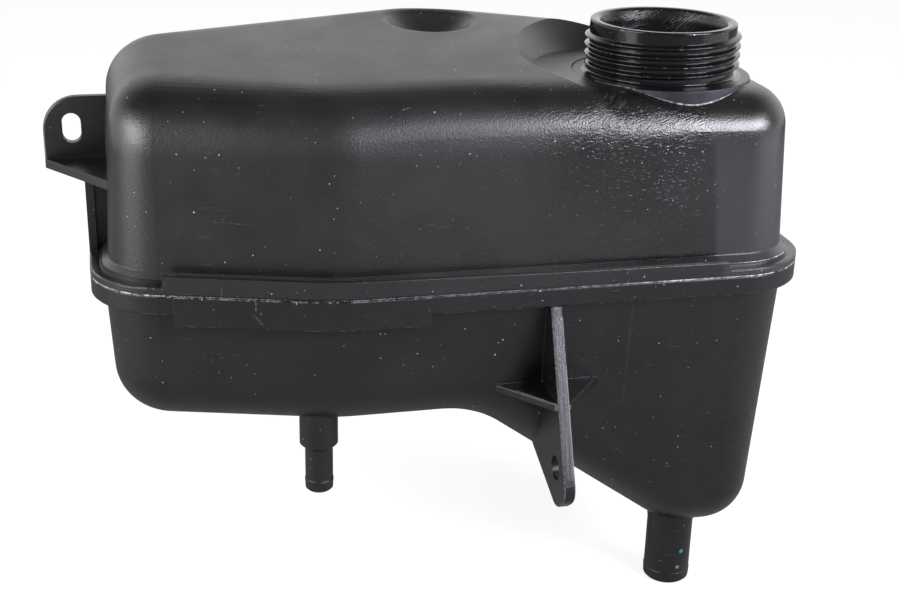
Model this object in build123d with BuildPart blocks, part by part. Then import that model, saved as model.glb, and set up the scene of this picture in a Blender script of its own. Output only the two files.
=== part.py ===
from build123d import *

import os
from math import cos, radians, sin, tan

# Coolant expansion tank: two moulded half shells welded at a flange, and a screw filler neck.
# Millimetres and degrees. The origin is on the neck's axis, at the flat platform round it. +X runs
# along the straight front wall towards the neck, +Y away from that wall, and +Z up.

# Shell walls
wall = 3.0
upper_draft = 3.2
lower_draft = 3.2
seam_z = -68.5
upper_inset = 1.7

# Plan of the lower half's walls at the weld seam
front_y = -43.9
left_x = -215.8
right_x = 48.4
bend_x = -135.0
bend_angle = 15.5
apex_x = -80.0
apex_y = 98.9
back_left_angle = 16.5
back_right_angle = 23.0
front_corner_radius = 25.0
back_corner_radius = 30.0
bend_radius = 70.0
apex_radius = 60.0

# Top of the upper half: a low platform round the neck and a higher plateau that rises to the back
platform_tilt = 1.5
platform_edge_radius = 15.5
platform_blend = 0.03
plateau_front_y = -18.0
plateau_front_z = 5.4
plateau_tilt = 5.2
plateau_edge_radius = 19.0
recess_radius = 48.5
recess_slope = 45.0
dimple_setback = 43.2
dimple_radius = 18.0
dimple_depth = 9.0
dimple_rim_radius = 5.0

# Weld flange: the upper rim with a raised lip along the front, the lower rim with a deeper pad
flange_overhang = 4.8
edge_break = 0.5
upper_rim_height = 3.0
foot_width = 2.6
foot_height = 4.4
foot_bevel = 2.2
lip_first_x = -195.5
lip_last_x = 15.5
lower_rim_height = 7.3
pad_first_x = -192.0
pad_last_x = -100.5
pad_height = 11.5
pad_proud = 0.6

# Floor of the lower half, from the shallow left end down a slope to the sump
shallow_floor_z = -124.9
sump_floor_z = -187.2
slope_first_x = -78.8
slope_angle = 36.2
slope_top_radius = 40.0
slope_bottom_radius = 30.0
floor_edge_radius = 20.0

# Filler neck
neck_height = 20.5
neck_bore_radius = 23.0
neck_root_radius = 28.15
thread_radius = 30.0
thread_first_z = 2.2
thread_last_z = 17.6
collar_radius = 34.5
collar_depth = 6.5
collar_proud = 0.4
skirt_radius = 26.0
skirt_depth = 12.0
lip_chamfer = 1.6
rim_chamfer = 0.6
neck_clearance = 0.1

# Hose spigots under the floor
outlet_place = (13.8, -16.0)
outlet_radius = 9.65
outlet_bore_radius = 7.2
outlet_end_z = -217.9
outlet_collar_radius = 9.9
outlet_collar_z = -189.0
bleed_place = (-138.8, -24.0)
bleed_radius = 5.4
bleed_bore_radius = 3.4
bleed_end_z = -155.9
bleed_collar_radius = 7.45
bleed_collar_z = -135.7
bead_step = 0.2
bead_rise = 4.5
spigot_end_chamfer = 0.8

# Slotted ear on the left end wall
ear_y = 35.0
ear_thickness = 4.0
ear_reach = 20.8
ear_top_z = -10.0
ear_corner_radius = 13.0
slot_inset = 10.6
slot_z = -22.1
slot_width = 7.0
slot_length = 11.6
shelf_top_z = -33.8
shelf_thickness = 3.5
shelf_front_y = -4.0
web_y = 14.0
web_thickness = 3.0
web_reach = 6.4
web_rib_width = 3.2
web_rib_depth = 2.5

# Fin bracket on the front wall, with a gusset across it
fin_x = -53.0
fin_thickness = 4.4
fin_hole_y = -63.5
fin_hole_z = -135.0
fin_hole_radius = 4.7
fin_toe = (-77.8, -142.0)
fin_heel = (-66.5, -150.7)
fin_root = (-15.0, -134.0)
fin_corner_radius = 7.0
gusset_top_z = -109.0
gusset_thickness = 3.2
gusset_half_width = 23.4

# Places that follow from the dimensions above
tank_length = right_x - left_x
tank_depth = apex_y - front_y
front_left = (left_x, front_y + (bend_x - left_x) * tan(radians(bend_angle)))
front_bend = (bend_x, front_y)
front_right = (right_x, front_y)
back_right = (right_x, apex_y - (right_x - apex_x) * tan(radians(back_right_angle)))
back_apex = (apex_x, apex_y)
back_left = (left_x, apex_y - (apex_x - left_x) * tan(radians(back_left_angle)))
plan_corners = {
    front_left: front_corner_radius,
    front_bend: bend_radius,
    front_right: front_corner_radius,
    back_right: back_corner_radius,
    back_apex: apex_radius,
    back_left: back_corner_radius,
}
slope_last_x = slope_first_x + (shallow_floor_z - sump_floor_z) / tan(radians(slope_angle))
platform_plane = Plane(
    origin=(0, 0, 0),
    x_dir=(cos(radians(platform_tilt)), 0, -sin(radians(platform_tilt))),
    z_dir=(sin(radians(platform_tilt)), 0, cos(radians(platform_tilt))),
)
plateau_plane = Plane(
    origin=(0, plateau_front_y, plateau_front_z),
    x_dir=(1, 0, 0),
    z_dir=(0, -sin(radians(plateau_tilt)), cos(radians(plateau_tilt))),
)
flange_front_y = front_y - flange_overhang
upper_rim_z = seam_z + upper_rim_height
lower_rim_z = seam_z - lower_rim_height
dimple_y = (apex_y - dimple_setback - plateau_front_y) / cos(radians(plateau_tilt))
upper_left_x = left_x + upper_inset
shelf_bottom_z = shelf_top_z - shelf_thickness
end_wall_x = upper_left_x + wall / 2 + (shelf_top_z - seam_z) * tan(radians(upper_draft))
ear_outer_x = upper_left_x - ear_reach
slot_x = ear_outer_x + slot_inset
web_outer_x = upper_left_x - web_reach


def plan_sketch(grow):
    """Outline of the tank at the weld seam, grown outwards by the given amount."""
    with BuildSketch(Plane.XY.offset(seam_z)) as plan:
        with BuildLine():
            Polyline(*plan_corners, close=True)
        make_face()
        for corner, radius in plan_corners.items():
            fillet(plan.vertices().sort_by_distance(corner)[0], radius)
        if grow:
            offset(amount=grow)
    return plan.sketch


def front_strip(grow, first_x, last_x):
    """The front part of the grown outline, between two stations along the wall."""
    with BuildSketch(Plane.XY.offset(seam_z)) as strip:
        add(plan_sketch(grow))
        with Locations(((first_x + last_x) / 2, front_y)):
            Rectangle(last_x - first_x, tank_depth, mode=Mode.INTERSECT)
    return strip.sketch


def flange_slab(sketch, height):
    """Slab of the weld flange, with the edges of both its faces broken."""
    with BuildPart() as slab:
        extrude(sketch, amount=height)
        chamfer(slab.faces().filter_by(Axis.Z).edges(), edge_break)
    return slab.part


def dimple_ball(grow):
    """Ball that presses the round dimple into the plateau, grown by the given amount."""
    ball_radius = (dimple_radius**2 + dimple_depth**2) / (2 * dimple_depth)
    centre = plateau_plane.from_local_coords((apex_x, dimple_y, ball_radius - dimple_depth))
    with BuildPart() as ball:
        with Locations(centre):
            Sphere(ball_radius + grow)
    return ball.part


def upper_form(inset):
    """Solid form of the upper half, with every face moved inwards by the inset."""
    outline = plan_sketch(-upper_inset - inset)
    top_z = plateau_front_z + tank_depth * tan(radians(plateau_tilt))

    # Platform, a trace wider than the walls so that its rounded edge meets them at an angle
    with BuildPart() as platform:
        extrude(plan_sketch(platform_blend - upper_inset - inset), amount=top_z - seam_z, taper=upper_draft)
        split(bisect_by=platform_plane.offset(-inset), keep=Keep.BOTTOM)
        fillet(platform.faces().sort_by(Axis.Z)[-1].edges(), platform_edge_radius - inset)

    # Recess over the platform, a round one on the left of the neck and a trench on its right. Its sides
    # slope above the platform and are upright below it, where it clears the platform's rounded edge.
    bottom_z = -inset - platform_edge_radius
    bottom_radius = recess_radius + inset * tan(radians(recess_slope / 2))
    mouth_radius = bottom_radius + (top_z + inset) / tan(radians(recess_slope))
    with BuildPart() as recess:
        with Locations((0, 0, -inset)):
            Cylinder(bottom_radius, platform_edge_radius, align=(Align.CENTER, Align.CENTER, Align.MAX))
            Cone(bottom_radius, mouth_radius, top_z + inset, align=(Align.CENTER, Align.CENTER, Align.MIN))
        with BuildSketch(Plane.YZ):
            with BuildLine():
                Polyline(
                    (-bottom_radius, bottom_z),
                    (bottom_radius, bottom_z),
                    (bottom_radius, -inset),
                    (mouth_radius, top_z),
                    (-mouth_radius, top_z),
                    (-bottom_radius, -inset),
                    close=True,
                )
            make_face()
        extrude(amount=tank_length)
        add(platform.part, mode=Mode.SUBTRACT)

    with BuildPart() as form:
        extrude(outline, amount=top_z - seam_z, taper=upper_draft)
        split(bisect_by=plateau_plane.offset(-inset), keep=Keep.BOTTOM)
        fillet(form.faces().sort_by(Axis.Z)[-1].edges(), plateau_edge_radius - inset)
        add(recess.part, mode=Mode.SUBTRACT)
    return form.part


def lower_form(inset):
    """Solid form of the lower half, with every face moved inwards by the inset."""
    slope_shift = inset * tan(radians(slope_angle / 2))
    slope_first = (slope_first_x + slope_shift, shallow_floor_z + inset)
    slope_last = (slope_last_x + slope_shift, sump_floor_z + inset)
    below = 2 * sump_floor_z
    with BuildPart() as form:
        extrude(plan_sketch(-inset), amount=seam_z - sump_floor_z, dir=(0, 0, -1), taper=lower_draft)
        with BuildSketch(Plane.XZ) as under_floor:
            with BuildLine():
                Polyline(
                    (-tank_length, below),
                    (-tank_length, slope_first[1]),
                    slope_first,
                    slope_last,
                    (tank_length, slope_last[1]),
                    (tank_length, below),
                    close=True,
                )
            make_face()
            fillet(under_floor.vertices().sort_by_distance(slope_first)[0], slope_top_radius + inset)
            fillet(under_floor.vertices().sort_by_distance(slope_last)[0], slope_bottom_radius - inset)
        extrude(amount=tank_length, both=True, mode=Mode.SUBTRACT)
        walls = form.faces().filter_by(lambda face: abs(face.normal_at().Z) < 0.2)
        floor = form.faces().filter_by(lambda face: face.normal_at().Z < -0.2)
        fillet(floor.edges() & walls.edges(), floor_edge_radius - inset)
    return form.part


def spigot_part(place, radius, end_z, collar_radius, collar_z, floor_z):
    """Solid hose spigot: a stub with a chamfered end and a low bead, and a collar up to the floor."""
    bead_z = end_z + bead_rise
    collar_step = collar_radius - radius
    root_z = floor_z + floor_edge_radius
    with BuildPart() as spigot:
        with BuildSketch(Plane(origin=(*place, 0), x_dir=(1, 0, 0), z_dir=(0, -1, 0))):
            with BuildLine():
                Polyline(
                    (0, end_z),
                    (radius - spigot_end_chamfer, end_z),
                    (radius, end_z + spigot_end_chamfer),
                    (radius + bead_step, bead_z - 2 * bead_step),
                    (radius + bead_step, bead_z + bead_step),
                    (radius, bead_z + 3 * bead_step),
                    (radius, collar_z - collar_step),
                    (collar_radius, collar_z),
                    (collar_radius, root_z),
                    (0, root_z),
                    close=True,
                )
            make_face()
        revolve(axis=Axis((*place, 0), (0, 0, 1)))
    return spigot.part


upper_outer = upper_form(0)

with BuildPart() as upper_hollow:
    add(upper_form(wall))
    add(dimple_ball(wall), mode=Mode.SUBTRACT)

with BuildPart() as neck_seat:
    with Locations((0, 0, -collar_depth - wall)):
        Cylinder(
            collar_radius + neck_clearance + wall,
            collar_depth + wall,
            align=(Align.CENTER, Align.CENTER, Align.MIN),
        )
    add(upper_outer, mode=Mode.INTERSECT)

with BuildPart() as ear_plate:
    with BuildSketch(Plane.XZ.offset(-ear_y)) as ear:
        with BuildLine():
            Polyline(
                (end_wall_x, ear_top_z),
                (ear_outer_x, ear_top_z),
                (ear_outer_x, shelf_bottom_z),
                (end_wall_x, shelf_bottom_z),
                close=True,
            )
        make_face()
        fillet(ear.vertices().sort_by_distance((ear_outer_x, ear_top_z))[0], ear_corner_radius)
        with Locations((slot_x, slot_z)):
            SlotOverall(slot_length, slot_width, rotation=90, mode=Mode.SUBTRACT)
    extrude(amount=ear_thickness)
    ear_sides = ear_plate.faces().filter_by(Axis.Y).sort_by(SortBy.AREA)[-2:]
    chamfer([edge for side in ear_sides for edge in side.outer_wire().edges()], edge_break)

with BuildPart() as upper_shell:
    add(upper_outer)
    # Round dimple pressed into the plateau
    before_dimple = upper_shell.edges()
    add(dimple_ball(0), mode=Mode.SUBTRACT)
    fillet(upper_shell.edges() - before_dimple, dimple_rim_radius)
    # Foot round the wall, rim of the flange, and the raised lip along the front
    extrude(plan_sketch(foot_width - upper_inset), amount=foot_height)
    add(flange_slab(plan_sketch(flange_overhang), upper_rim_height))
    add(flange_slab(front_strip(flange_overhang, lip_first_x, lip_last_x), foot_height))
    foot_top = upper_shell.faces().filter_by_position(Axis.Z, seam_z + foot_height, seam_z + foot_height)
    chamfer(foot_top.sort_by(SortBy.AREA)[-1].inner_wires()[0].edges(), foot_bevel)
    # Slotted ear, its shelf, and the web that holds the shelf up
    add(ear_plate.part)
    with BuildSketch(Plane.XY.offset(shelf_bottom_z)) as shelf:
        with BuildLine():
            Polyline(
                (ear_outer_x, ear_y),
                (ear_outer_x, ear_y - ear_thickness),
                (end_wall_x, shelf_front_y),
                (end_wall_x, ear_y),
                close=True,
            )
        make_face()
    extrude(amount=shelf_thickness)
    with BuildSketch(Plane.XY.offset(upper_rim_z)) as web:
        with Locations((web_outer_x, web_y)):
            Rectangle(end_wall_x - web_outer_x, web_thickness, align=(Align.MIN, Align.MIN))
            Rectangle(web_rib_width, web_rib_depth, align=(Align.MIN, Align.MAX))
    extrude(amount=shelf_bottom_z - upper_rim_z)
    # Hollow inside, then the stepped hole that the neck sits in
    add(upper_hollow.part, mode=Mode.SUBTRACT)
    add(neck_seat.part)
    with Locations((0, 0, -collar_depth)):
        Cylinder(
            collar_radius + neck_clearance,
            neck_height,
            align=(Align.CENTER, Align.CENTER, Align.MIN),
            mode=Mode.SUBTRACT,
        )
        Cylinder(skirt_radius + neck_clearance, neck_height, mode=Mode.SUBTRACT)

lower_outer = lower_form(0)
lower_hollow = lower_form(wall)
outlet = spigot_part(
    outlet_place, outlet_radius, outlet_end_z, outlet_collar_radius, outlet_collar_z, sump_floor_z
)
bleed = spigot_part(
    bleed_place, bleed_radius, bleed_end_z, bleed_collar_radius, bleed_collar_z, shallow_floor_z
)
fin_reach = (gusset_top_z - lower_rim_z) / (fin_toe[1] - lower_rim_z)
gusset_y = flange_front_y + fin_reach * (fin_toe[0] - flange_front_y)

with BuildPart() as fin_plate:
    # Upright plate with a rounded foot that carries the fixing hole
    with BuildSketch(Plane.YZ.offset(fin_x - fin_thickness / 2)) as fin:
        with BuildLine():
            Polyline(
                (front_y + wall / 2, lower_rim_z),
                (flange_front_y, lower_rim_z),
                fin_toe,
                fin_heel,
                fin_root,
                close=True,
            )
        make_face()
        for corner in (fin_toe, fin_heel):
            fillet(fin.vertices().sort_by_distance(corner)[0], fin_corner_radius)
        with Locations((fin_hole_y, fin_hole_z)):
            Circle(fin_hole_radius, mode=Mode.SUBTRACT)
    extrude(amount=fin_thickness)
    fin_sides = fin_plate.faces().filter_by(Axis.X)
    chamfer([edge for side in fin_sides for edge in side.outer_wire().edges()], edge_break)

with BuildPart() as gusset_plate:
    # Three-cornered plate from the front wall out to the fin's edge
    with BuildSketch(Plane.XY.offset(gusset_top_z)):
        with BuildLine():
            Polyline(
                (fin_x - gusset_half_width, front_y + 2 * wall),
                (fin_x - fin_thickness / 2, gusset_y),
                (fin_x + fin_thickness / 2, gusset_y),
                (fin_x + gusset_half_width, front_y + 2 * wall),
                close=True,
            )
        make_face()
    extrude(amount=-gusset_thickness)
    chamfer(gusset_plate.faces().filter_by(Axis.Z).edges(), edge_break)

with BuildPart() as lower_shell:
    add(lower_outer)
    # Rim of the flange and the deeper pad along its left front
    add(flange_slab(plan_sketch(flange_overhang), -lower_rim_height))
    add(flange_slab(front_strip(flange_overhang + pad_proud, pad_first_x, pad_last_x), -pad_height))
    # Fin bracket with its gusset, the hose spigots, then the hollow inside and the bores through the floor
    add(fin_plate.part)
    add(gusset_plate.part)
    add(outlet)
    add(bleed)
    add(lower_hollow, mode=Mode.SUBTRACT)
    with Locations((*outlet_place, outlet_end_z)):
        Cylinder(
            outlet_bore_radius,
            sump_floor_z + floor_edge_radius - outlet_end_z,
            align=(Align.CENTER, Align.CENTER, Align.MIN),
            mode=Mode.SUBTRACT,
        )
    with Locations((*bleed_place, bleed_end_z)):
        Cylinder(
            bleed_bore_radius,
            shallow_floor_z + floor_edge_radius - bleed_end_z,
            align=(Align.CENTER, Align.CENTER, Align.MIN),
            mode=Mode.SUBTRACT,
        )

with BuildPart() as filler_neck:
    # Collar and barrel as far as the crests of the thread, with a skirt that centres the neck
    with BuildSketch(Plane.XZ):
        with BuildLine():
            Polyline(
                (neck_bore_radius, -skirt_depth),
                (skirt_radius, -skirt_depth),
                (skirt_radius, -collar_depth),
                (collar_radius, -collar_depth),
                (collar_radius, collar_proud),
                (neck_root_radius, collar_proud),
                (neck_root_radius, thread_first_z),
                (thread_radius, thread_first_z),
                (thread_radius, thread_last_z),
                (neck_root_radius, thread_last_z),
                (neck_root_radius, neck_height - rim_chamfer),
                (neck_root_radius - rim_chamfer, neck_height),
                (neck_bore_radius + lip_chamfer, neck_height),
                (neck_bore_radius, neck_height - lip_chamfer),
                close=True,
            )
        make_face()
    revolve(axis=Axis.Z)

upper_shell.part.label = "upper_shell"
lower_shell.part.label = "lower_shell"
filler_neck.part.label = "filler_neck"
os.makedirs("parts", exist_ok=True)
export_step(upper_shell.part, "parts/upper_shell.step")
export_step(lower_shell.part, "parts/lower_shell.step")
export_step(filler_neck.part, "parts/filler_neck.step")
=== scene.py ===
import math
from types import SimpleNamespace

import bpy
import numpy as np
from mathutils import Matrix, Vector, geometry, noise
from mathutils.bvhtree import BVHTree


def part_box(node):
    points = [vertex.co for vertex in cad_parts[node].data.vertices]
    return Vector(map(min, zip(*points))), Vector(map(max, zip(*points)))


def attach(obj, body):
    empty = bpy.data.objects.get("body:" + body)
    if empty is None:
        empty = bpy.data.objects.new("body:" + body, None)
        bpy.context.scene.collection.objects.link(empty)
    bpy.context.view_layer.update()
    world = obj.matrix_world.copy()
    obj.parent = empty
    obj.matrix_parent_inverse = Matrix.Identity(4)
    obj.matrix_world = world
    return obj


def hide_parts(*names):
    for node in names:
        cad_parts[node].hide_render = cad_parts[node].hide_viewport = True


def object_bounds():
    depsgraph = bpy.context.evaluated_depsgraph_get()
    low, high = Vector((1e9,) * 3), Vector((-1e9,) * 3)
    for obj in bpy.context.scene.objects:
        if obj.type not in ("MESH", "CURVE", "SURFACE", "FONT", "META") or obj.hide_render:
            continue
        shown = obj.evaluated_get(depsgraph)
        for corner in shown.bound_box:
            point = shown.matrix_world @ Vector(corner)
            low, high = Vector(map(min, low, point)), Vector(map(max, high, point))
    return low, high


# Coolant expansion tank. Metres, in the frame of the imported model: the origin is on the filler neck's
# axis at the platform round it, +X along the front wall, +Y to the back, +Z up. The threaded neck, the
# weld flash and the front lip are worked out in millimetres.
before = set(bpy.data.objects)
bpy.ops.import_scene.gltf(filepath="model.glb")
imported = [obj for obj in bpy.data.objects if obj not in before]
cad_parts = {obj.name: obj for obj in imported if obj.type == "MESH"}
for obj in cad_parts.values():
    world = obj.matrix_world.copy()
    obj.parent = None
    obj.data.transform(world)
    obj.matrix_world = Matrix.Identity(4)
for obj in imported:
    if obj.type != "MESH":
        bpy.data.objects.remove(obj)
cad_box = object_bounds()
scene = bpy.context.scene
upper_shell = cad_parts["upper_shell"]
lower_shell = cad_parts["lower_shell"]
mm = 0.001

# Places on the shells: the weld seam, the front wall, which is bent back on the left, the ear and the fin
seam_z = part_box("lower_shell")[1][2]
front_y = -0.0439
bend_x, bend_slope = -0.135, 0.277
ear_x = -0.216
fin_x, fin_y, fin_toe_z = -0.053, -0.0500, -0.1352
platform_front = (-0.022, -0.036, -0.004)
edge_radius = 0.0006

# Filler neck in millimetres, as the solid has it, with the screw thread on its root
neck_bore, neck_root, neck_crest, neck_top = 23.0, 28.15, 30.0, 20.5
skirt_radius, skirt_foot = 26.0, -12.0
collar_radius, collar_foot, collar_top, collar_round = 34.5, -6.5, 0.4, 0.45
root_foot, root_top, rim_round = 1.1, 19.51, 0.75
thread_pitch, thread_first, thread_last = 3.5, 2.2, 17.6
neck_columns = 288

# Single scratches on each half, and on the upper half one painted highlight dash (its second line): start,
# end, width and strength
scratches_and_glint = {
    "upper": [
        ((-0.1758, -0.0292, -0.0425), (-0.1603, -0.0335, -0.0434), 0.00022, 0.8),
        # painted highlight: a short bright dash on the top's front edge, drawn like a scratch
        ((-0.1093, -0.0353, -0.0026), (-0.1067, -0.0349, -0.0021), 0.0004, 0.8),
        ((-0.1750, -0.0378, -0.0647), (-0.1750, -0.0377, -0.0673), 0.0005, 0.4),
    ],
    "lower": [
        ((-0.1633, -0.0416, -0.0695), (-0.1634, -0.0416, -0.0726), 0.0004, 0.6),
        ((-0.1641, -0.0414, -0.0745), (-0.1611, -0.0422, -0.0779), 0.0007, 0.4),
        ((-0.0672, -0.0481, -0.1091), (-0.0559, -0.0622, -0.1091), 0.0004, 0.8),
        ((-0.0209, -0.0431, -0.0795), (-0.0216, -0.0407, -0.1209), 0.0009, 0.10),
    ],
}
slanted_scuffs_at = (-0.033, -0.036, -0.004)

# Crowned front edge of the top. Each row of a turn is a range of the solid's lean from level and what that
# range adds to the lean shown, in degrees. On the left the edge stays flat for longer and then turns faster.
# The shares, over ranges of X, say how much of the turn is shown: 1 plus the rows at the edge's top, and
# crown_foot_share at its foot.
crown_turn = [(22.0, 52.0, 5.2, 34.0), (52.0, 87.0, 0.0, 33.0)]
crown_left_turn = [(26.0, 50.0, 5.2, 16.0), (50.0, 66.0, 0.0, 31.2), (66.0, 87.0, 0.0, 19.8)]
crown_top_shares = [(-0.148, -0.090, 0.0, -0.4), (-0.082, -0.045, 0.0, 0.4), (-0.036, -0.022, 0.0, -0.5)]
crown_foot_share = (-0.154, -0.096, 1.0, 0.47)

# Plain colours, for a viewer that reads no nodes
shell_plain = (0.010, 0.010, 0.011, 1)
neck_plain = (0.006, 0.006, 0.0065, 1)
flash_plain = (0.03, 0.03, 0.03, 1)

# Colours of the plastic, of what is worn off it or lies on it, and of painted sheen and highlights
shell_dark, shell_pale = (0.0030, 0.0030, 0.0033, 1), (0.0062, 0.0061, 0.0066, 1)
# Painted sheen: paler colour of the front wall's smooth end by the right corner
shell_sheen_pale = (0.023, 0.0222, 0.0246, 1)
# Fin's rubbed front edge, paler for a painted sheen, and a painted highlight on its right side
fin_edge_sheen_dark, fin_edge_sheen_pale = (0.020, 0.019, 0.023, 1), (0.074, 0.070, 0.084, 1)
fin_side_highlight = (0.24, 0.23, 0.26, 1)
# Pale grey of the scratches and hair scuffs, and of one painted highlight dash
scratch_and_glint_grey = (0.16, 0.16, 0.17, 1)
# Pale grey of chipped edges, which also paints edge highlights
chip_and_highlight_grey = (0.22, 0.215, 0.225, 1)
dust_grey = (0.45, 0.45, 0.46, 1)
neck_black, neck_rubbed = (0.005, 0.005, 0.0055, 1), (0.10, 0.10, 0.105, 1)
collar_grey = (0.050, 0.047, 0.061, 1)
neck_dust = (0.55, 0.55, 0.55, 1)
flash_dark, flash_white = (0.030, 0.030, 0.031, 1), (0.60, 0.595, 0.60, 1)

# Two specks on the outlet spigot: place, radius, soft edge and colour
outlet_specks = [
    ((0.0162, -0.0252, -0.2023), 0.0008, 0.0003, (0.005, 0.24, 0.22, 1)),
    ((0.0150, -0.0255, -0.2099), 0.0005, 0.0005, (0.20, 0.20, 0.20, 1)),
]


# Mesh helpers
def new_piece(name, points, faces, smooth=True):
    """Adds a mesh piece to the scene."""
    mesh = bpy.data.meshes.new(name)
    mesh.from_pydata([tuple(point) for point in points], [], faces)
    mesh.polygons.foreach_set("use_smooth", [smooth] * len(mesh.polygons))
    mesh.update()
    piece = bpy.data.objects.new(name, mesh)
    scene.collection.objects.link(piece)
    return piece


def fit_piece(piece, material):
    """Gives a piece its material and fixes it to the tank."""
    piece.data.materials.append(material)
    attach(piece, "root")


def ring_faces(rows, columns, close_rows=False, close_columns=True):
    """Quads of a grid of points, stored row by row."""
    faces = []
    for row in range(rows if close_rows else rows - 1):
        here, above = row * columns, (row + 1) % rows * columns
        for column in range(columns if close_columns else columns - 1):
            beside = (column + 1) % columns
            faces.append((here + column, here + beside, above + beside, above + column))
    return faces


def ease(low, high, value):
    """Smooth step from 0 at low to 1 at high."""
    part = np.clip((np.asarray(value, float) - low) / (high - low), 0.0, 1.0)
    return part * part * (3.0 - 2.0 * part)


def outward(points):
    """Directions across a line of points in plan, to the right of its run."""
    run = np.gradient(points, axis=0)
    return np.stack([run[:, 1], -run[:, 0]], axis=-1) / np.linalg.norm(run, axis=1)[:, None]


# Shader node helpers
def fill_inputs(tree, made, inputs):
    """Sets a node's inputs, or links them where a socket is given."""
    for socket, value in inputs.items():
        if isinstance(value, bpy.types.NodeSocket):
            tree.links.new(value, made.inputs[socket])
        else:
            made.inputs[socket].default_value = value
    return made


def add_node(tree, kind, inputs=None, **settings):
    """Adds a node, sets its properties, and fills or links its inputs."""
    made = tree.nodes.new("ShaderNode" + kind)
    for name, value in settings.items():
        setattr(made, name, value)
    return fill_inputs(tree, made, inputs or {})


def maths(tree, operation, first, second=0.0, third=0.0, clamp=False):
    """One calculation on up to three values."""
    given = {0: first, 1: second, 2: third}
    return add_node(tree, "Math", given, operation=operation, use_clamp=clamp).outputs[0]


def product(tree, first, *others):
    """Several values or masks multiplied."""
    for other in others:
        first = maths(tree, "MULTIPLY", first, other)
    return first


def total(tree, first, *others):
    """Several values added."""
    for other in others:
        first = maths(tree, "ADD", first, other)
    return first


def vectors(tree, operation, first, second=(0.0, 0.0, 0.0), result="Vector"):
    """One calculation on two vectors."""
    return add_node(tree, "VectorMath", {0: first, 1: second}, operation=operation).outputs[result]


def scaled(tree, vector, size):
    """Vector made longer or shorter."""
    return add_node(tree, "VectorMath", {0: vector, "Scale": size}, operation="SCALE").outputs["Vector"]


def split(tree, vector):
    """X, Y and Z of a vector."""
    return add_node(tree, "SeparateXYZ", {"Vector": vector}).outputs


def ramp(tree, value, low, high, start=0.0, end=1.0, kind="LINEAR"):
    """Straight change from start to end as the value goes from low to high."""
    given = {"Value": value, "From Min": low, "From Max": high, "To Min": start, "To Max": end}
    return add_node(tree, "MapRange", given, interpolation_type=kind).outputs["Result"]


def band(tree, value, low, high, start=0.0, end=1.0):
    """Smooth change from start to end as the value goes from low to high."""
    return ramp(tree, value, low, high, start, end, "SMOOTHSTEP")


def noise_field(tree, place, scale, detail, roughness=0.5):
    """Noise from 0 to 1, with as many lumps to the unit of place as the scale says."""
    given = {"Vector": place, "Scale": scale, "Detail": detail, "Roughness": roughness}
    return add_node(tree, "TexNoise", given).outputs["Fac"]


def blend_colour(tree, factor, first, second):
    """Mix of two colours."""
    mixed = {"Factor": factor, "A": first, "B": second}
    return add_node(tree, "Mix", mixed, data_type="RGBA").outputs["Result"]


def start_group(name, inputs, outputs):
    """New shader node group with named sockets."""
    tree = bpy.data.node_groups.new(name, "ShaderNodeTree")
    for label, kind, value in inputs:
        socket = tree.interface.new_socket(label, in_out="INPUT", socket_type="NodeSocket" + kind)
        if value is not None:
            socket.default_value = value
    for label, kind in outputs:
        tree.interface.new_socket(label, in_out="OUTPUT", socket_type="NodeSocket" + kind)
    return tree, tree.nodes.new("NodeGroupInput").outputs, tree.nodes.new("NodeGroupOutput").inputs


def place_group(tree, group, inputs):
    """Puts a group into a material and returns its outputs."""
    placed = tree.nodes.new("ShaderNodeGroup")
    placed.node_tree = group
    return fill_inputs(tree, placed, inputs).outputs


# Effects that the materials share
def moulded_grain_group():
    """Fine moulded grain with a coarser orange peel and level pits, and a slow change of tone."""
    tree, given, out = start_group(
        "moulded_grain",
        [("Place", "Vector", None), ("Grain", "Float", 1.0), ("Peel", "Float", 0.0), ("Pits", "Float", 0.0)],
        [("Height", "Float"), ("Tone", "Float")],
    )
    place = given["Place"]
    fine = noise_field(tree, place, 1500.0, 2.0)
    # The peel is drawn out along slanted streaks, which run on from the wall over the top
    at = split(tree, place)
    climb = maths(tree, "ADD", at["Y"], at["Z"])
    upslope = add_node(tree, "CombineXYZ", {"X": at["X"], "Z": climb}).outputs[0]
    slant = {"Vector": upslope, "Angle": math.radians(24)}
    turned = add_node(tree, "VectorRotate", slant, rotation_type="Y_AXIS").outputs[0]
    peel = noise_field(tree, vectors(tree, "MULTIPLY", turned, (230.0, 1.0, 1050.0)), 1.0, 2.0, 0.55)
    dashes = noise_field(tree, vectors(tree, "MULTIPLY", place, (560.0, 900.0, 1350.0)), 1.0, 1.0)
    height = total(
        tree,
        product(tree, fine, given["Grain"]),
        product(tree, peel, given["Peel"]),
        product(tree, band(tree, dashes, 0.56, 0.72), given["Pits"]),
    )
    tree.links.new(height, out["Height"])
    tree.links.new(noise_field(tree, place, 38.0, 4.0, 0.6), out["Tone"])
    return tree


def dust_group():
    """Small pale specks of dust, mostly faint. Spacing is in millimetres."""
    tree, given, out = start_group(
        "dust_specks",
        [("Place", "Vector", None), ("Spacing", "Float", 4.0), ("Share", "Float", 0.2)],
        [("Specks", "Float")],
    )
    scale = maths(tree, "DIVIDE", 1000.0, given["Spacing"])
    cells = add_node(tree, "TexVoronoi", {"Vector": given["Place"], "Scale": scale}).outputs
    lot = add_node(tree, "SeparateColor", {"Color": cells["Color"]}).outputs
    chosen = maths(tree, "LESS_THAN", lot["Red"], given["Share"])
    size = maths(tree, "MULTIPLY_ADD", lot["Green"], 0.07, 0.045)
    inside = maths(tree, "LESS_THAN", cells["Distance"], size)
    level = maths(tree, "ADD", maths(tree, "POWER", lot["Blue"], 2.5), 0.1)
    tree.links.new(product(tree, chosen, inside, level), out["Specks"])
    return tree


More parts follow.
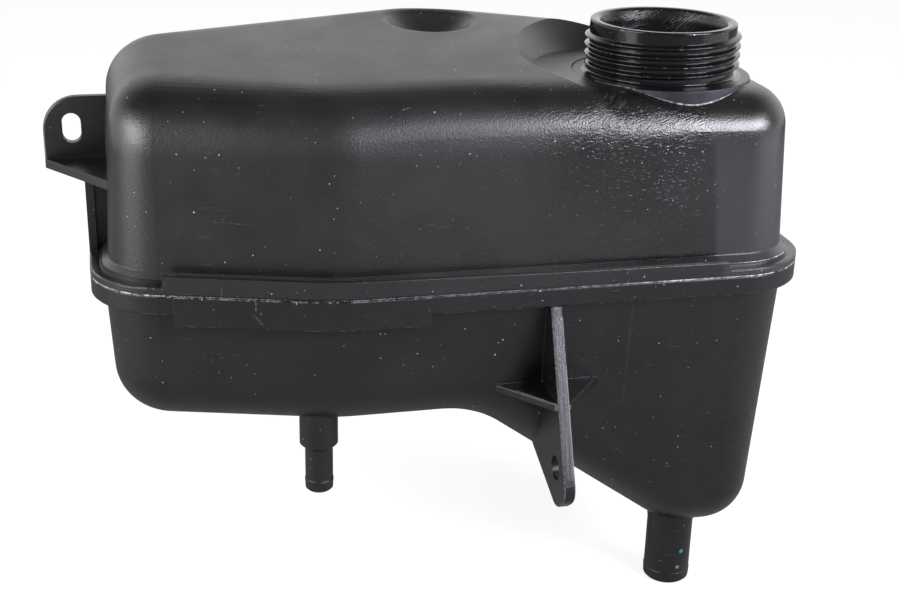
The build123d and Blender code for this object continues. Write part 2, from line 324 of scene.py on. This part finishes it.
def scuff_group():
    """Fine hair scratches, drawn out along one direction in the front wall's plane."""
    tree, given, out = start_group(
        "hair_scuffs",
        [("Place", "Vector", None), ("Angle", "Float", 0.0), ("Cut", "Float", 0.72)],
        [("Scuffs", "Float")],
    )
    slant = {"Vector": given["Place"], "Angle": given["Angle"]}
    turned = add_node(tree, "VectorRotate", slant, rotation_type="Y_AXIS").outputs[0]
    lines = noise_field(tree, vectors(tree, "MULTIPLY", turned, (140.0, 300.0, 1900.0)), 1.0, 1.0)
    patches = noise_field(tree, given["Place"], 30.0, 1.0)
    sharp = ramp(tree, lines, given["Cut"], maths(tree, "ADD", given["Cut"], 0.08))
    tree.links.new(product(tree, sharp, band(tree, patches, 0.46, 0.62)), out["Scuffs"])
    return tree


def chip_and_highlight_group():
    """Mask of small chips, which also stand as painted edge highlights, where the surface faces between two
    sides. Size is in millimetres.
    """
    tree, given, out = start_group(
        "edge_chips_and_highlights",
        [("Place", "Vector", None), ("Facing", "Float", 0.0), ("Size", "Float", 1.2), ("Cut", "Float", 0.5)],
        [("Chips_and_highlights", "Float")],
    )
    edge = maths(tree, "COMPARE", given["Facing"], 0.707, 0.09)
    broken = noise_field(tree, given["Place"], maths(tree, "DIVIDE", 1000.0, given["Size"]), 3.0, 0.7)
    sharp = ramp(tree, broken, given["Cut"], maths(tree, "ADD", given["Cut"], 0.12))
    tree.links.new(product(tree, edge, sharp), out["Chips_and_highlights"])
    return tree


moulded_grain = moulded_grain_group()
dust_specks = dust_group()
hair_scuffs = scuff_group()
edge_chips_and_highlights = chip_and_highlight_group()


# Parts of the materials
def start_material(name, roughness, colour):
    """Node material with its shader and object place ready."""
    material = bpy.data.materials.new(name)
    material.use_nodes = True
    tree = material.node_tree
    shader = tree.nodes["Principled BSDF"]
    shader.inputs["Base Color"].default_value = colour
    shader.inputs["Roughness"].default_value = roughness
    return material, tree, shader, add_node(tree, "TexCoord").outputs["Object"]


def soft_edges(tree, radius):
    """Surface direction with the sharp edges rounded off."""
    return add_node(tree, "Bevel", {"Radius": radius}, samples=4).outputs["Normal"]


def bump(tree, shader, height, distance, facing):
    """Feeds a height over a surface direction into the shader's normal."""
    made = add_node(tree, "Bump", {"Height": height, "Distance": distance, "Normal": facing})
    tree.links.new(made.outputs["Normal"], shader.inputs["Normal"])


def dust_mask(tree, place, spacing, share):
    """Mask of dust specks."""
    return place_group(tree, dust_specks, {"Place": place, "Spacing": spacing, "Share": share})["Specks"]


def scuff_mask(tree, place, degrees, cut):
    """Mask of hair scuffs at an angle from level."""
    given = {"Place": place, "Angle": math.radians(degrees), "Cut": cut}
    return place_group(tree, hair_scuffs, given)["Scuffs"]


def chip_and_highlight_mask(tree, place, face, size, cut):
    """Mask of chips and painted edge highlights on the edges of the sides that face along an axis."""
    given = {"Place": place, "Facing": maths(tree, "ABSOLUTE", face), "Size": size, "Cut": cut}
    return place_group(tree, edge_chips_and_highlights, given)["Chips_and_highlights"]


def spot(tree, place, centre, radius, soft):
    """Mask of a round spot about a point."""
    away = vectors(tree, "DISTANCE", place, centre, "Value")
    return band(tree, away, radius, radius + soft, 1.0, 0.0)


def line_mark(tree, place, start, end, width):
    """Mask of a straight line between two points, for the scratches and one painted highlight dash."""
    run = Vector(end) - Vector(start)
    offset = vectors(tree, "SUBTRACT", place, start)
    along = vectors(tree, "DOT_PRODUCT", offset, run / run.length_squared, "Value")
    along = maths(tree, "MULTIPLY", along, 1.0, clamp=True)
    away = vectors(tree, "DISTANCE", offset, scaled(tree, run, along), "Value")
    return band(tree, away, 0.4 * width, width, 1.0, 0.0)


def shell_places(tree, place, half):
    """What the marks of a half shell go by: place, direction, front wall and the plate that stands out."""
    at = split(tree, place)
    face = split(tree, add_node(tree, "NewGeometry").outputs["Normal"])
    front = band(tree, at["Y"], -0.030, -0.022, 1.0, 0.0)
    bent = product(tree, maths(tree, "MAXIMUM", maths(tree, "SUBTRACT", bend_x, at["X"]), 0.0), bend_slope)
    behind = maths(tree, "SUBTRACT", maths(tree, "SUBTRACT", at["Y"], front_y), bent)
    # Rough stretch on the right of the front wall, which dies out before the corner
    rough_part = product(
        tree, band(tree, at["X"], -0.085, -0.020), band(tree, at["X"], -0.002, 0.012, 1.0, 0.12), front
    )
    from_fin = maths(tree, "ABSOLUTE", maths(tree, "SUBTRACT", at["X"], fin_x))
    if half == "upper":
        plate = band(tree, at["X"], ear_x - 0.001, ear_x, 1.0, 0.0)
    else:
        plate = band(tree, at["Y"], fin_y - 0.0005, fin_y, 1.0, 0.0)
        plate = product(tree, plate, band(tree, from_fin, 0.0030, 0.0034, 1.0, 0.0))
    return SimpleNamespace(
        half=half, tree=tree, place=place, at=at, face=face, front=front, behind=behind,
        rough_part=rough_part, from_fin=from_fin, plate=plate,
    )


def shell_grain(shell):
    """Grain of a half shell, with orange peel and pits in the rough stretch."""
    if shell.half == "upper":
        peel = band(shell.tree, shell.at["Z"], -0.030, -0.012, 1.3, 2.5)
        pits = band(shell.tree, shell.at["Z"], -0.060, -0.020, 0.45, 0.85)
    else:
        peel, pits = 0.4, 0.25
    given = {"Place": shell.place, "Grain": 1.5}
    given["Peel"] = product(shell.tree, shell.rough_part, peel)
    given["Pits"] = product(shell.tree, shell.rough_part, pits)
    return place_group(shell.tree, moulded_grain, given)


def shell_marks(shell):
    """Mask of the hair scuffs, the single scratches and one painted highlight dash."""
    tree, place = shell.tree, shell.place
    marks = product(tree, scuff_mask(tree, place, 4, 0.70), 0.4)
    if shell.half == "upper":
        rubbed = spot(tree, place, slanted_scuffs_at, 0.004, 0.005)
        slanted = product(tree, scuff_mask(tree, place, 32, 0.52), rubbed)
        marks = maths(tree, "MAXIMUM", marks, slanted)
    uneven = band(tree, noise_field(tree, place, 900.0, 3.0), 0.40, 0.60, 0.15, 1.25)
    for begin, end, width, strength in scratches_and_glint[shell.half]:
        scratch_and_glint = product(tree, line_mark(tree, place, begin, end, width), uneven, strength)
        marks = maths(tree, "MAXIMUM", marks, scratch_and_glint)
    return marks


def shell_chips_and_highlights(shell):
    """Mask of the chipped edges along the front of the flange and on the plate that stands out, which also
    paints highlights on these edges.
    """
    tree, at = shell.tree, shell.at
    flange = product(
        tree,
        band(tree, at["Z"], seam_z + 0.0052, seam_z + 0.0048),
        band(tree, at["Z"], seam_z - 0.0125, seam_z - 0.0120),
        band(tree, shell.behind, -0.0041, -0.0037, 1.0, 0.0),
    )
    # painted highlight: the lower half's edges are twice as pale, as its flange edges face down into shade
    strength = 0.5 if shell.half == "upper" else 1.0
    rim_chips_and_highlights = product(tree, chip_and_highlight_mask(tree, shell.place, shell.face["Z"], 2.2, 0.47), flange, strength)
    plate_chips_and_highlights = product(tree, chip_and_highlight_mask(tree, shell.place, shell.face["X"], 1.2, 0.40), shell.plate)
    return maths(tree, "MAXIMUM", rim_chips_and_highlights, plate_chips_and_highlights)


def wall_end_sheen_colour(shell, colour):
    """Smooth end of the front wall, which starts at an upright line before the corner, painted paler as the
    sheen where the wall turns into the corner.
    """
    tree, at = shell.tree, shell.at
    upright = maths(tree, "MULTIPLY_ADD", maths(tree, "ADD", at["Z"], 0.0247), 0.074, at["X"])
    below_edge = band(tree, at["Z"], -0.021, -0.015, 1.0, 0.0)
    # painted sheen: the wall's end below the top edge is paler
    smooth_end_sheen = product(tree, band(tree, upright, 0.0078, 0.0106), below_edge, shell.front)
    return blend_colour(tree, smooth_end_sheen, colour, shell_sheen_pale)


def fin_colour(shell, colour, tone):
    """Rubbed, streaky front edge of the fin, painted paler as its sheen, and a painted highlight on its right
    side, down to its toe.
    """
    tree, at = shell.tree, shell.at
    above_toe = band(tree, at["Z"], fin_toe_z, fin_toe_z + 0.0014)
    edge = product(
        tree,
        band(tree, shell.from_fin, 0.0022, 0.0024, 1.0, 0.0),
        band(tree, shell.face["Z"], 0.30, 0.36),
        shell.plate,
        above_toe,
    )
    drawn = vectors(tree, "MULTIPLY", shell.place, (1900.0, 60.0, 60.0))
    streaks = band(tree, noise_field(tree, drawn, 1.0, 3.0, 0.7), 0.35, 0.65)
    # painted sheen: pale streaks along the fin's front edge
    colour = blend_colour(tree, edge, colour, blend_colour(tree, streaks, fin_edge_sheen_dark, fin_edge_sheen_pale))
    # painted highlight: a pale band on the fin's right side, patchy with the tone
    side = product(
        tree,
        band(tree, at["X"], fin_x + 0.00155, fin_x + 0.00175),
        band(tree, at["X"], fin_x + 0.0021, fin_x + 0.0022, 1.0, 0.0),
        shell.plate,
        above_toe,
        band(tree, tone, 0.40, 0.55),
    )
    return blend_colour(tree, side, colour, fin_side_highlight)


def shell_colour(shell, tone, marks, chips_and_highlights):
    """Colour of a half shell with its wear and dust, and painted sheen and highlights."""
    tree, place = shell.tree, shell.place
    colour = blend_colour(tree, band(tree, tone, 0.30, 0.70), shell_dark, shell_pale)
    colour = wall_end_sheen_colour(shell, colour) if shell.half == "upper" else fin_colour(shell, colour, tone)
    dust = dust_mask(tree, place, 3.0, 0.66)
    # The marks and the chips also carry painted highlights
    wear_and_highlights = ((marks, 0.6, scratch_and_glint_grey), (chips_and_highlights, 0.5, chip_and_highlight_grey), (dust, 0.85, dust_grey))
    for mask, strength, grey in wear_and_highlights:
        colour = blend_colour(tree, product(tree, mask, strength), colour, grey)
    if shell.half == "lower":
        for centre, radius, soft, speck in outlet_specks:
            colour = blend_colour(tree, spot(tree, place, centre, radius, soft), colour, speck)
    return colour


def crowned_front_edge(shell, facing):
    """Surface direction of the top's front edge, crowned: it rolls over later and runs on into the wall."""
    tree, at = shell.tree, shell.at
    level = vectors(tree, "NORMALIZE", vectors(tree, "MULTIPLY", facing, (1.0, 1.0, 0.0)))
    ahead = product(tree, split(tree, level)["Y"], -1.0)
    lean = product(tree, maths(tree, "ARCCOSINE", split(tree, facing)["Z"]), 180.0 / math.pi)
    left = total(tree, *[ramp(tree, lean, *part) for part in crown_left_turn])
    right = total(tree, *[ramp(tree, lean, *part) for part in crown_turn])
    past_left = band(tree, at["X"], -0.180, -0.148)
    rolled = add_node(tree, "Mix", {"Factor": past_left, "A": left, "B": right}).outputs["Result"]
    rolled = total(tree, rolled, band(tree, at["Z"], -0.0115, -0.0240, 0.0, 19.8))
    top = total(tree, 1.0, *[band(tree, at["X"], *part) for part in crown_top_shares])
    foot = band(tree, at["X"], *crown_foot_share)
    share = product(
        tree,
        band(tree, shell.behind, 0.026, 0.034, 1.0, 0.0),
        band(tree, ahead, 0.0, 0.5),
        band(tree, at["Z"], -0.050, -0.040),
        band(tree, lean, 36.0, 62.0, top, foot),
    )
    change = product(tree, maths(tree, "SUBTRACT", rolled, lean), share)
    angle = product(tree, total(tree, lean, change), math.pi / 180.0)
    upright = add_node(tree, "CombineXYZ", {"Z": maths(tree, "COSINE", angle)}).outputs[0]
    return vectors(tree, "ADD", scaled(tree, level, maths(tree, "SINE", angle)), upright)


def upper_facing(shell):
    """Surface direction of the upper half: softer at the platform's front, with a crowned front edge."""
    tree, behind = shell.tree, shell.behind
    platform_edge = spot(tree, shell.place, platform_front, 0.012, 0.014)
    radius = maths(tree, "MULTIPLY_ADD", platform_edge, 0.006, edge_radius)
    # The wall runs straight down behind the front lip, so the line at its foot is not softened there
    wall_foot = product(
        tree,
        band(tree, behind, -0.0018, -0.0014),
        band(tree, behind, 0.003, 0.005, 1.0, 0.0),
        band(tree, shell.at["Z"], seam_z + 0.010, seam_z + 0.014, 1.0, 0.0),
        band(tree, shell.at["X"], 0.006, 0.016, 1.0, 0.0),
    )
    radius = maths(tree, "MULTIPLY_ADD", wall_foot, -0.00057, radius)
    return crowned_front_edge(shell, soft_edges(tree, radius))


# Materials
def shell_material(name, half):
    """Black grained plastic of a half shell, rubbed and dusty as a part from stock, with painted highlights
    on some edges.
    """
    material, tree, shader, place = start_material(name, 0.40, shell_plain)
    shader.inputs["IOR"].default_value = 1.47
    shader.inputs["Specular IOR Level"].default_value = 0.95 if half == "upper" else 0.68
    shell = shell_places(tree, place, half)
    grain, marks, chips_and_highlights = shell_grain(shell), shell_marks(shell), shell_chips_and_highlights(shell)
    tree.links.new(shell_colour(shell, grain["Tone"], marks, chips_and_highlights), shader.inputs["Base Color"])
    rough = total(
        tree,
        band(tree, grain["Tone"], 0.25, 0.75, 0.36, 0.44),
        product(tree, chips_and_highlights, 0.25),
        band(tree, shell.at["X"], -0.085, -0.010, 0.0, -0.08),
        product(tree, shell.rough_part, -0.06),
    )
    tree.links.new(rough, shader.inputs["Roughness"])
    height = maths(tree, "MULTIPLY_ADD", chips_and_highlights, -1.2, grain["Height"])
    facing = upper_facing(shell) if half == "upper" else soft_edges(tree, edge_radius)
    bump(tree, shader, height, 0.00006, facing)
    return material


def neck_material():
    """Glossy black plastic of the filler neck, with dust, rubbed crests and a rough bore."""
    material, tree, shader, place = start_material("neck_gloss", 0.12, neck_plain)
    shader.inputs["IOR"].default_value = 1.52
    shader.inputs["Specular IOR Level"].default_value = 0.4
    flat = vectors(tree, "MULTIPLY", place, (1 / mm, 1 / mm, 0.0))
    radius = vectors(tree, "LENGTH", flat, result="Value")
    crest = band(tree, radius, neck_crest - 0.8, neck_crest - 0.1)
    crest = product(tree, crest, band(tree, radius, neck_crest + 0.1, neck_crest + 0.3, 1.0, 0.0))
    collar = band(tree, radius, neck_crest + 0.5, neck_crest + 1.2)
    collar_side = band(tree, radius, collar_radius - 0.2, collar_radius - 0.05)
    bore = band(tree, radius, neck_bore + 1.3, neck_bore + 1.8, 1.0, 0.0)
    rough_place = maths(tree, "MAXIMUM", collar_side, bore)
    given = {"Place": place, "Grain": band(tree, rough_place, 0.0, 1.0, 0.2, 1.2)}
    given["Peel"] = maths(tree, "MULTIPLY_ADD", bore, 7.0, band(tree, rough_place, 0.0, 1.0, 0.4, 3.0))
    grain = place_group(tree, moulded_grain, given)
    # More dust towards the rim
    rim = band(tree, split(tree, place)["Z"], (neck_top - 5.5) * mm, (neck_top - 0.5) * mm, 0.3, 1.0)
    dust = product(tree, dust_mask(tree, place, 2.0, 0.72), rim)
    rubbed = product(tree, band(tree, noise_field(tree, place, 420.0, 4.0, 0.7), 0.56, 0.66), crest)
    mottled = product(tree, collar_side, band(tree, grain["Tone"], 0.36, 0.58, 0.35, 1.0))
    colour = blend_colour(tree, product(tree, rubbed, 0.35), neck_black, neck_rubbed)
    colour = blend_colour(tree, mottled, colour, collar_grey)
    colour = blend_colour(tree, dust, colour, neck_dust)
    tree.links.new(colour, shader.inputs["Base Color"])
    worn = maths(tree, "MAXIMUM", rubbed, product(tree, rough_place, 0.7))
    rough = band(tree, grain["Tone"], 0.3, 0.7, 0.11, 0.18)
    rough = total(tree, rough, product(tree, collar, 0.14), product(tree, worn, 0.22))
    tree.links.new(rough, shader.inputs["Roughness"])
    bump(tree, shader, grain["Height"], 0.00004, soft_edges(tree, 0.0003))
    return material


def flash_material():
    """Weld flash squeezed out of the seam: dark plastic with whitened, torn edges."""
    material, tree, shader, place = start_material("weld_flash", 0.35, flash_plain)
    torn = noise_field(tree, place, 650.0, 4.0, 0.75)
    patches = noise_field(tree, place, 45.0, 2.0)
    along = split(tree, place)["X"]
    ends = maths(tree, "MAXIMUM", band(tree, along, -0.045, 0.0), band(tree, along, -0.195, -0.185, 1.0, 0.0))
    level = maths(tree, "MULTIPLY_ADD", ends, 0.65, band(tree, patches, 0.38, 0.58, 0.06, 0.40))
    white = maths(tree, "MULTIPLY", band(tree, torn, 0.40, 0.56), level, clamp=True)
    tree.links.new(blend_colour(tree, white, flash_dark, flash_white), shader.inputs["Base Color"])
    grain = place_group(tree, moulded_grain, {"Place": place, "Grain": 1.0, "Peel": 1.0})
    bump(tree, shader, total(tree, grain["Height"], torn), 0.0001, soft_edges(tree, 0.0002))
    return material


upper_plastic = shell_material("upper_shell_plastic", "upper")
lower_plastic = shell_material("lower_shell_plastic", "lower")
neck_gloss = neck_material()
weld_flash = flash_material()
upper_shell.data.materials.clear()
upper_shell.data.materials.append(upper_plastic)
lower_shell.data.materials.clear()
lower_shell.data.materials.append(lower_plastic)
upper_surface = BVHTree.FromObject(upper_shell, bpy.context.evaluated_depsgraph_get())


# Threaded neck
def neck_profile():
    """Radius and height round the neck's section without its thread, from the bore's foot outwards."""
    collar_turn, rim_turn = (0.4, 0.8, 1.2, math.pi / 2), (0.25, 0.55, 0.85, 1.2, math.pi / 2)
    section = [(neck_bore, skirt_foot), (skirt_radius, skirt_foot), (skirt_radius, collar_foot)]
    section += [(collar_radius, z) for z in (collar_foot, -4.0, -1.5, collar_top - collar_round)]
    for angle in collar_turn:
        drop = collar_round * (1 - math.sin(angle))
        section.append((collar_radius - collar_round * (1 - math.cos(angle)), collar_top - drop))
    section += [(33.0, collar_top), (31.0, collar_top), (29.6, 0.42), (28.9, 0.55), (28.45, 0.8)]
    section += [(neck_root, z) for z in np.arange(root_foot, root_top, 0.14)]
    for angle in rim_turn:
        drop = rim_round * (1 - math.sin(angle))
        section.append((neck_root - rim_round * (1 - math.cos(angle)), neck_top - drop))
    # Rounded inner rim and the bore's steep lead-in
    section += [(26.6, neck_top), (25.8, 20.46), (25.2, 20.3), (24.7, 20.0), (24.35, 19.5), (24.05, 18.9)]
    section += [(23.75, 18.3), (23.45, 17.7), (23.2, 17.1), (23.05, 16.5)]
    section += [(neck_bore, z) for z in (15.8, 13.0, 9.0, 4.0, -1.0, -6.0)]
    return np.array(section)


def threaded_neck():
    """Filler neck with its screw thread, in the place of the plain one."""
    profile = neck_profile()
    angles = np.linspace(0, 2 * math.pi, neck_columns, endpoint=False)
    height, angle = np.meshgrid(profile[:, 1], angles, indexing="ij")
    radius = np.repeat(profile[:, :1], neck_columns, axis=1)
    on_root = (np.abs(radius - neck_root) < 0.05) & (height > 1.0) & (height < 19.6)
    turns = height / thread_pitch - angle / (2 * math.pi)
    across = turns - np.floor(turns) - 0.5
    crest_height = height - across * thread_pitch
    starts = ease(thread_first, thread_first + 1.5, crest_height)
    run_out = starts * (1 - ease(thread_last - 1.6, thread_last, crest_height))
    tooth = (1 - ease(0.08, 0.66, np.abs(across) * 2)) ** 0.8
    radius = radius + np.where(on_root, (neck_crest - neck_root) * tooth * run_out, 0.0)
    # Small nicks on the rim and the crests
    nicked = (radius < 30.2) & ((radius >= 28.6) | (height >= 19.6))
    for row, column in np.argwhere(nicked):
        reach, bearing = radius[row, column], angles[column]
        seat = Vector((reach * math.cos(bearing), reach * math.sin(bearing), height[row, column]))
        dent = max(0.0, noise.noise(seat * 0.55 + Vector((7.0, 3.0, 1.0))) - 0.38)
        radius[row, column] -= 0.55 * dent
    points = np.stack([radius * np.cos(angle), radius * np.sin(angle), height], axis=-1).reshape(-1, 3) * mm
    neck = new_piece("threaded_neck", points, ring_faces(len(profile), neck_columns, close_rows=True))
    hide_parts("filler_neck")
    fit_piece(neck, neck_gloss)


# Lip and weld flash on the shells
def seam_outline(step):
    """Even points along the flange's outer edge at the seam, with their outward directions."""
    edge_z = seam_z + 0.0005
    edge = [vertex.co.xy for vertex in upper_shell.data.vertices if abs(vertex.co.z - edge_z) < 0.00006]
    hull = [edge[corner] for corner in geometry.convex_hull_2d(edge)]
    loop = np.array([tuple(point) for point in hull + hull[:1]])
    length = np.concatenate([[0], np.cumsum(np.linalg.norm(np.diff(loop, axis=0), axis=1))])
    along = np.linspace(0, length[-1], int(length[-1] / step), endpoint=False)
    points = np.stack([np.interp(along, length, loop[:, axis]) for axis in (0, 1)], axis=-1)
    wrapped = np.concatenate([points[-1:], points, points[:1]])
    out = outward(wrapped)[1:-1]
    if np.sum(out * (points - points.mean(axis=0))) < 0:
        out = -out
    return points, out


def seam_flash():
    """Irregular bead of weld flash along the groove between the half shells."""
    points, out = seam_outline(0.5 * mm)
    groove_floor = -0.55
    section = [math.radians(degrees) for degrees in (-90, -45, 0, 45, 90)]
    rows = []
    for (x, y), (out_x, out_y) in zip(points, out):
        seat = Vector((x, y, 0.0)) / mm
        ragged = noise.fractal(seat * 0.45, 0.6, 2.0, 3)
        slow = noise.noise(seat * 0.05 + Vector((3.0, 8.0, 2.0)))
        # Livelier on the right and at the left end, and held inside the flange's outline at the right end
        lively = max(float(ease(-0.045, 0.0, x)), float(1 - ease(-0.2, -0.185, x)))
        proud = -0.22 + 0.22 * slow + (0.16 + 0.14 * lively) * ragged + 0.12 * lively
        proud = min(proud, 0.22 if x < 0.04 else -0.03)
        rise = 0.10 * noise.noise(seat * 0.21 + Vector((1.0, 5.0, 9.0)))
        thick = 0.17 + (0.09 + 0.12 * lively) * ragged + 0.17 * lively
        for angle in section:
            reach = (groove_floor + (proud - groove_floor) * math.cos(angle) ** 0.7) * mm
            z = seam_z + (rise + thick * math.sin(angle)) * mm
            rows.append((x + out_x * reach, y + out_y * reach, z))
    faces = ring_faces(len(points), len(section), close_rows=True, close_columns=False)
    fit_piece(new_piece("seam_weld_flash", rows, faces), weld_flash)


def laid_bead(name, path, sizes):
    """Thin round bead laid along a path of points in millimetres."""
    rows, sides = [], 8
    for step, (point, size) in enumerate(zip(path, sizes)):
        run = (path[min(step + 1, len(path) - 1)] - path[max(step - 1, 0)]).normalized()
        across = run.cross(Vector((0, 0, 1))).normalized()
        rise = across.cross(run)
        for side in range(sides):
            angle = 2 * math.pi * side / sides
            rows.append((point + size * (math.cos(angle) * across + math.sin(angle) * rise)) * mm)
    fit_piece(new_piece(name, rows, ring_faces(len(path), sides)), weld_flash)


def collar_weld_line():
    """Weld line where the neck's collar leaves the rounded front of the platform, thickest at the front."""
    path, sizes = [], []
    for degrees in np.linspace(205, 335, 260):
        angle = math.radians(degrees)
        side = Vector((math.cos(angle), math.sin(angle), 0.0))
        above = side * (collar_radius + 0.45) + Vector((0, 0, 3))
        hit = upper_surface.ray_cast(above * mm, Vector((0, 0, -1)))[0] / mm
        front = float(ease(246, 262, degrees) * (1 - ease(284, 304, degrees)))
        path.append(side * (collar_radius + 0.25) + Vector((0, 0, hit.z + 0.05)))
        sizes.append((0.08 + 0.30 * front) * (1 + 0.25 * noise.noise(side * 24.0)))
    laid_bead("collar_weld_line", path, sizes)


def collar_torn_flash():
    """Torn flash on the left edge of the neck's collar."""
    path, sizes, count = [], [], 90
    for step, angle in enumerate(np.radians(np.linspace(206, 234, count))):
        torn = noise.noise(Vector((step * 0.31, 2.0, 5.0)))
        reach = collar_radius - 0.2 + 0.25 * torn
        path.append(Vector((reach * math.cos(angle), reach * math.sin(angle), collar_top + 0.02)))
        fade = math.sin(math.pi * step / (count - 1)) ** 0.5
        sizes.append(max(0.03, 0.16 + 0.22 * torn) * fade + 0.01)
    laid_bead("collar_torn_flash", path, sizes)


def wall_foot_flash():
    """Squeezed flash along the foot of the upper wall, round the right end of the front."""
    path, sizes, count = [], [], 120
    corner = Vector((21.0, -18.0, seam_z / mm + 4.2))
    for step, angle in enumerate(np.radians(np.linspace(-92, -30, count))):
        aim = Vector((math.cos(angle), math.sin(angle), 0.0))
        hit = upper_surface.ray_cast((corner + aim * 60) * mm, -aim)[0] / mm
        ragged = noise.fractal(hit * 0.5, 0.7, 2.0, 3)
        path.append(hit)
        fade = math.sin(math.pi * (step + 1) / (count + 1)) ** 0.4
        sizes.append((0.04 + max(0.0, 0.20 + 0.22 * ragged)) * fade)
    laid_bead("wall_foot_flash", path, sizes)


def front_lip():
    """Raised lip that stands along the front of the flange, tallest on the left."""
    low = seam_z / mm
    tops_at, tops = (-195.0, -137.0, -52.0, 12.0), (7.4, 7.3, 6.3, 6.0)
    starts = [Vector((x, -90.0, low + 2.2)) * mm for x in np.arange(-195.4, 14.61, 1.0)]
    hits = [upper_surface.ray_cast(start, Vector((0, 1, 0)))[0] / mm for start in starts]
    line = np.array([tuple(hit.xy) for hit in hits])
    rows = []
    for (x, y), (out_x, out_y) in zip(line, outward(line)):
        top = np.interp(x, tops_at, tops) + 0.08 * noise.noise(Vector((x * 0.4, 1.0, 4.0)))
        section = [(-2.0, 4.0), (-2.0, top - 0.3), (-1.7, top), (-0.28, top), (0.0, top - 0.12)]
        section += [(0.1, top - 0.4), (0.1, 0.75), (-0.25, 0.55)]
        for reach, rise in section:
            rows.append(((x + out_x * reach) * mm, (y + out_y * reach) * mm, (low + rise) * mm))
    sides, count = len(section), len(line)
    ends = [tuple(reversed(range(sides))), tuple(range((count - 1) * sides, count * sides))]
    lip = new_piece("front_lip", rows, ring_faces(count, sides) + ends, smooth=False)
    fit_piece(lip, upper_plastic)


threaded_neck()
front_lip()
seam_flash()
collar_weld_line()
collar_torn_flash()
wall_foot_flash()


# Camera and studio: white floor and surroundings, two soft boxes above the front and two low panels
def photo_camera():
    """Camera at the photograph's place and angle."""
    place = (-0.20982, -0.52443, 0.12257)
    turn, dip, roll = math.radians(13.7), math.radians(21.5), math.radians(1.4)
    forward = Vector((math.sin(turn) * math.cos(dip), math.cos(turn) * math.cos(dip), -math.sin(dip)))
    level_right = Vector((math.cos(turn), -math.sin(turn), 0.0))
    level_up = level_right.cross(forward)
    right = math.cos(roll) * level_right + math.sin(roll) * level_up
    up = math.cos(roll) * level_up - math.sin(roll) * level_right
    lens = bpy.data.cameras.new("photo_camera")
    lens.lens = 58.0
    lens.sensor_width = 36.0
    lens.clip_start = 0.01
    camera = bpy.data.objects.new("photo_camera", lens)
    scene.collection.objects.link(camera)
    camera.matrix_world = Matrix.Translation(place) @ Matrix((right, up, -forward)).transposed().to_4x4()
    scene.camera = camera


def studio_world():
    """Surroundings that are bright low at the back, dim elsewhere, and white to the camera."""
    world = bpy.data.worlds.new("studio")
    scene.world = world
    world.use_nodes = True
    tree = world.node_tree
    toward = split(tree, add_node(tree, "TexCoord").outputs["Generated"])
    low = band(tree, toward["Z"], 0.42, 0.74, 1.0, 0.0)
    low_back = product(tree, low, band(tree, toward["Y"], -0.2, 0.3))
    sides = band(tree, toward["Z"], 0.3, 0.6, 0.27, 0.0)
    level = maths(tree, "MAXIMUM", maths(tree, "MULTIPLY_ADD", low_back, 1.13, 0.17), sides)
    grey = add_node(tree, "CombineColor", {"Red": level, "Green": level, "Blue": level}).outputs["Color"]
    seen = add_node(tree, "LightPath").outputs["Is Camera Ray"]
    colour = blend_colour(tree, seen, grey, (1, 1, 1, 1))
    tree.links.new(colour, tree.nodes["Background"].inputs["Color"])


def studio_floor():
    """Pale floor just under the tank, close to white to the camera."""
    low = cad_box[0][2] - 0.0005
    reach = 6.0
    corners = [(-reach, -reach, low), (reach, -reach, low), (reach, reach, low), (-reach, reach, low)]
    floor = new_piece("studio_floor", corners, [(0, 1, 2, 3)], smooth=False)
    white = bpy.data.materials.new("floor_white")
    white.use_nodes = True
    tree = white.node_tree
    shader = tree.nodes["Principled BSDF"]
    shader.inputs["Base Color"].default_value = (0.34, 0.34, 0.34, 1)
    shader.inputs["Roughness"].default_value = 0.9
    shader.inputs["Specular IOR Level"].default_value = 0.1
    shader.inputs["Emission Color"].default_value = (1, 1, 1, 1)
    seen = add_node(tree, "LightPath").outputs["Is Camera Ray"]
    tree.links.new(product(tree, seen, 0.78), shader.inputs["Emission Strength"])
    floor.data.materials.append(white)


def soft_box(name, place, target, width, height, power, colour):
    """Square-cornered lamp that the camera doesn't see."""
    lamp = bpy.data.lights.new(name, "AREA")
    lamp.color = colour
    lamp.shape = "RECTANGLE"
    lamp.size, lamp.size_y, lamp.energy = width, height, power
    holder = bpy.data.objects.new(name, lamp)
    scene.collection.objects.link(holder)
    holder.location = place
    holder.rotation_euler = (Vector(target) - Vector(place)).to_track_quat("-Z", "Y").to_euler()
    holder.visible_camera = False


photo_camera()
studio_world()
studio_floor()
soft_box("right_box", (0.75, -0.925, 0.58), (-0.02, 0.0, -0.05), 0.85, 0.45, 24, (0.93, 0.91, 1.0))
soft_box("left_box", (-1.25, -0.38, 0.58), (-0.12, 0.0, -0.05), 0.9, 0.5, 13.5, (0.97, 0.96, 1.0))
soft_box("right_panel", (0.80, -0.28, -0.06), (0.0, -0.02, -0.06), 0.9, 0.3, 0.9, (0.97, 0.95, 1.0))
soft_box("left_panel", (-0.83, -0.19, -0.06), (-0.2, -0.02, -0.06), 0.47, 0.3, 1.15, (0.97, 0.96, 1.0))

scene.view_settings.view_transform = "Standard"
